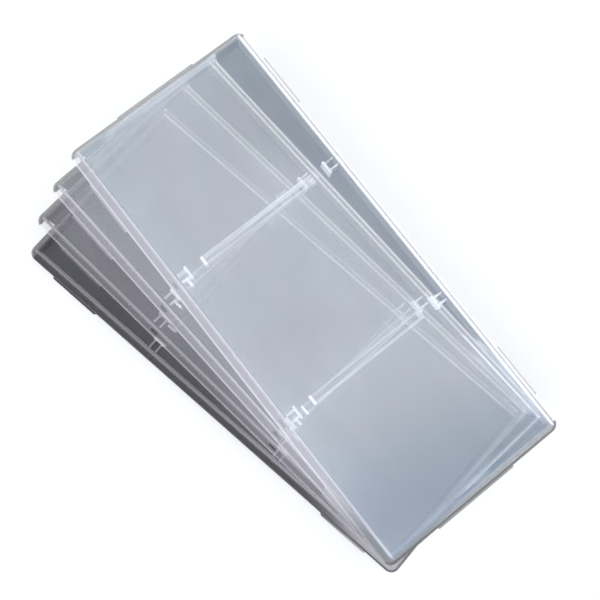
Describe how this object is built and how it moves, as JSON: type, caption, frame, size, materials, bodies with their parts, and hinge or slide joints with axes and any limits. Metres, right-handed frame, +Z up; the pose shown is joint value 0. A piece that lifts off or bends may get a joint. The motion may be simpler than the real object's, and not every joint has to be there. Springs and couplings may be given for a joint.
{
  "type": "flat compartment case",
  "caption": "Flat clear plastic cases with lift-off lids and ribbed compartments, stacked flat and fanned out about one short end.",
  "frame": {"origin": "middle of the underside of the bottom case's tray, where the stack rests", "axes": "+X along the bottom case's length towards the fanned-out end, +Y across it, away from the side the fan opens to, +Z up through the stack"},
  "size_m": [0.2608, 0.1539, 0.0376],
  "materials": {
    "clear_tray": "clear moulded plastic, slightly hazy, with bright edges",
    "clear_lid": "clear moulded plastic, slightly hazy, with bright edges"
  },
  "bodies": {
    "bottom_tray": {"bottom_tray": "clear_tray"},
    "bottom_lid": {"bottom_lid": "clear_lid"},
    "second_tray": {"second_tray": "clear_tray"},
    "second_lid": {"second_lid": "clear_lid"},
    "third_tray": {"third_tray": "clear_tray"},
    "third_lid": {"third_lid": "clear_lid"},
    "top_tray": {"top_tray": "clear_tray"},
    "top_lid": {"top_lid": "clear_lid"}
  },
  "joints": [
    {"name": "bottom_lid_lift", "type": "slide", "parent": "bottom_tray", "child": "bottom_lid", "axis": [0, 0, 1], "range_m": [0, 0.03]},
    {"name": "second_case_fan", "type": "hinge", "parent": "bottom_lid", "child": "second_tray", "pos_m": [-0.1206, -0.0028, 0.0094], "axis": [0, 0, 1], "range_deg": [-19.1, 24.9]},
    {"name": "second_lid_lift", "type": "slide", "parent": "second_tray", "child": "second_lid", "axis": [0, 0, 1], "range_m": [0, 0.03]},
    {"name": "third_case_fan", "type": "hinge", "parent": "second_lid", "child": "third_tray", "pos_m": [-0.1207, -0.0035, 0.0188], "axis": [0, 0, 1], "range_deg": [-18.2, 25.8]},
    {"name": "third_lid_lift", "type": "slide", "parent": "third_tray", "child": "third_lid", "axis": [0, 0, 1], "range_m": [0, 0.03]},
    {"name": "top_case_fan", "type": "hinge", "parent": "third_lid", "child": "top_tray", "pos_m": [-0.1212, -0.0033, 0.0282], "axis": [0, 0, 1], "range_deg": [-17.9, 26.1]},
    {"name": "top_lid_lift", "type": "slide", "parent": "top_tray", "child": "top_lid", "axis": [0, 0, 1], "range_m": [0, 0.03]}
  ]
}
